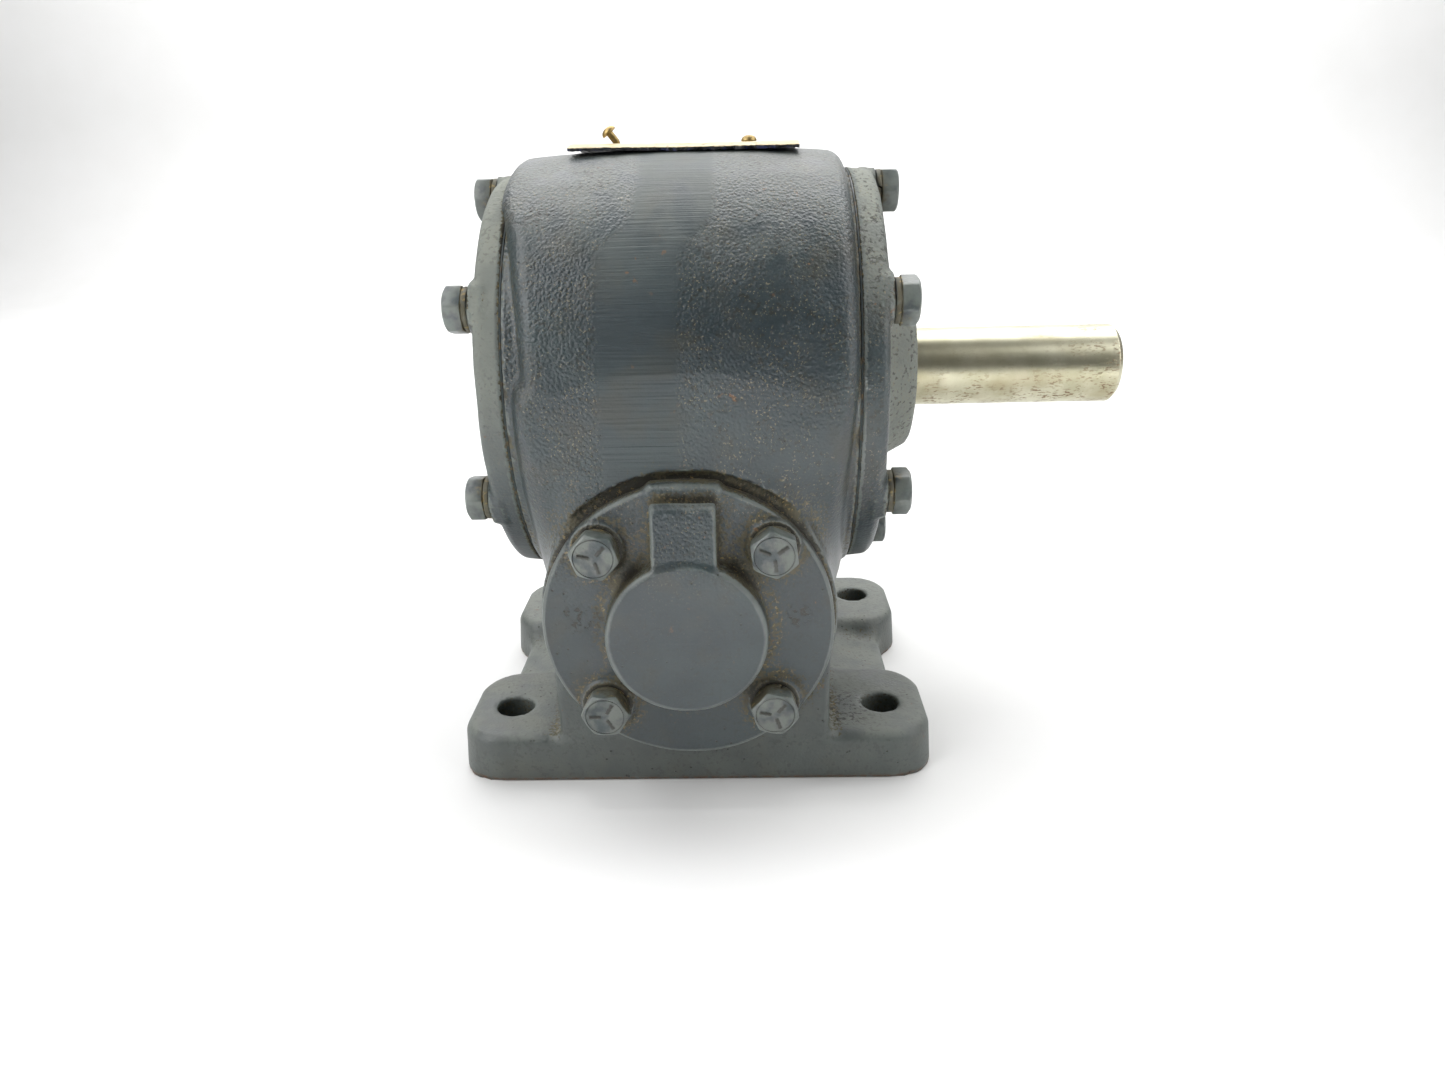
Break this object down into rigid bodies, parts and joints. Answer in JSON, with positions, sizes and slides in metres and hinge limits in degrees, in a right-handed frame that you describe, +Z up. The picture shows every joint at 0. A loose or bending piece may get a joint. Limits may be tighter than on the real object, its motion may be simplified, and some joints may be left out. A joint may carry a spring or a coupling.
{
  "type": "worm gearbox",
  "caption": "Foot-mounted right-angle worm gearbox with a cast case, closed end cap, side covers and a plain output shaft.",
  "frame": {"origin": "centre of the base's underside, on the floor, under the crossing of the two shafts", "axes": "+X along the output shaft towards its free end, +Y along the worm shaft towards its driven end, +Z up"},
  "size_m": [0.2171, 0.2039, 0.1961],
  "materials": {
    "cast_paint": "semi-gloss blue-grey enamel over rough casting",
    "bolt_paint": "the same enamel brushed over zinc bolts",
    "gasket": "oil-stained fibre gasket, dull",
    "shaft_steel": "ground steel with a yellow oil film and rust specks",
    "bearing_steel": "ground and polished",
    "wheel_bronze": "machined bronze",
    "hub_iron": "as cast, machined bore",
    "seal_rubber": "satin black",
    "plug_steel": "painted over",
    "nameplate": "faded cream and gold face, worn black edge, no text",
    "screw_brass": "dull, stained"
  },
  "bodies": {
    "case": {"housing": "cast_paint", "output_cover": "cast_paint", "blind_cover": "cast_paint", "front_cap": "cast_paint", "rear_cap": "cast_paint", "output_cover_gasket": "gasket", "blind_cover_gasket": "gasket", "front_cap_gasket": "gasket", "rear_cap_gasket": "gasket", "output_cover_bolt_1": "bolt_paint", "output_cover_bolt_2": "bolt_paint", "output_cover_bolt_3": "bolt_paint", "output_cover_bolt_4": "bolt_paint", "output_cover_bolt_5": "bolt_paint", "output_cover_bolt_6": "bolt_paint", "blind_cover_bolt_1": "bolt_paint", "blind_cover_bolt_2": "bolt_paint", "blind_cover_bolt_3": "bolt_paint", "blind_cover_bolt_4": "bolt_paint", "blind_cover_bolt_5": "bolt_paint", "blind_cover_bolt_6": "bolt_paint", "front_cap_bolt_1": "bolt_paint", "front_cap_bolt_2": "bolt_paint", "front_cap_bolt_3": "bolt_paint", "front_cap_bolt_4": "bolt_paint", "rear_cap_bolt_1": "bolt_paint", "rear_cap_bolt_2": "bolt_paint", "rear_cap_bolt_3": "bolt_paint", "rear_cap_bolt_4": "bolt_paint", "output_bearing_cup": "bearing_steel", "blind_bearing_cup": "bearing_steel", "worm_rear_bearing_cup": "bearing_steel", "worm_front_bearing_cup": "bearing_steel", "output_seal": "seal_rubber", "input_seal": "seal_rubber", "fill_plug": "plug_steel", "level_plug": "plug_steel", "drain_plug": "plug_steel", "nameplate": "nameplate", "nameplate_screw_left": "screw_brass", "nameplate_screw_right": "screw_brass"},
    "output": {"output_shaft": "shaft_steel", "wheel_rim": "wheel_bronze", "wheel_hub": "hub_iron", "wheel_key": "shaft_steel", "output_spacer": "shaft_steel", "blind_spacer": "shaft_steel", "output_bearing_cone": "bearing_steel", "output_bearing_rollers": "bearing_steel", "blind_bearing_cone": "bearing_steel", "blind_bearing_rollers": "bearing_steel"},
    "worm": {"worm_shaft": "shaft_steel", "worm_rear_bearing_cone": "bearing_steel", "worm_rear_bearing_rollers": "bearing_steel", "worm_front_bearing_cone": "bearing_steel", "worm_front_bearing_rollers": "bearing_steel"}
  },
  "joints": [
    {"name": "output_spin", "type": "hinge", "parent": "case", "child": "output", "pos_m": [0, 0, 0.1194], "axis": [1, 0, 0], "continuous": true},
    {"name": "worm_spin", "type": "hinge", "parent": "case", "child": "worm", "pos_m": [0, 0, 0.0591], "axis": [0, 1, 0], "continuous": true}
  ],
  "couplings": [
    {"joint": "worm_spin", "follows": "output_spin", "ratio": -30}
  ]
}
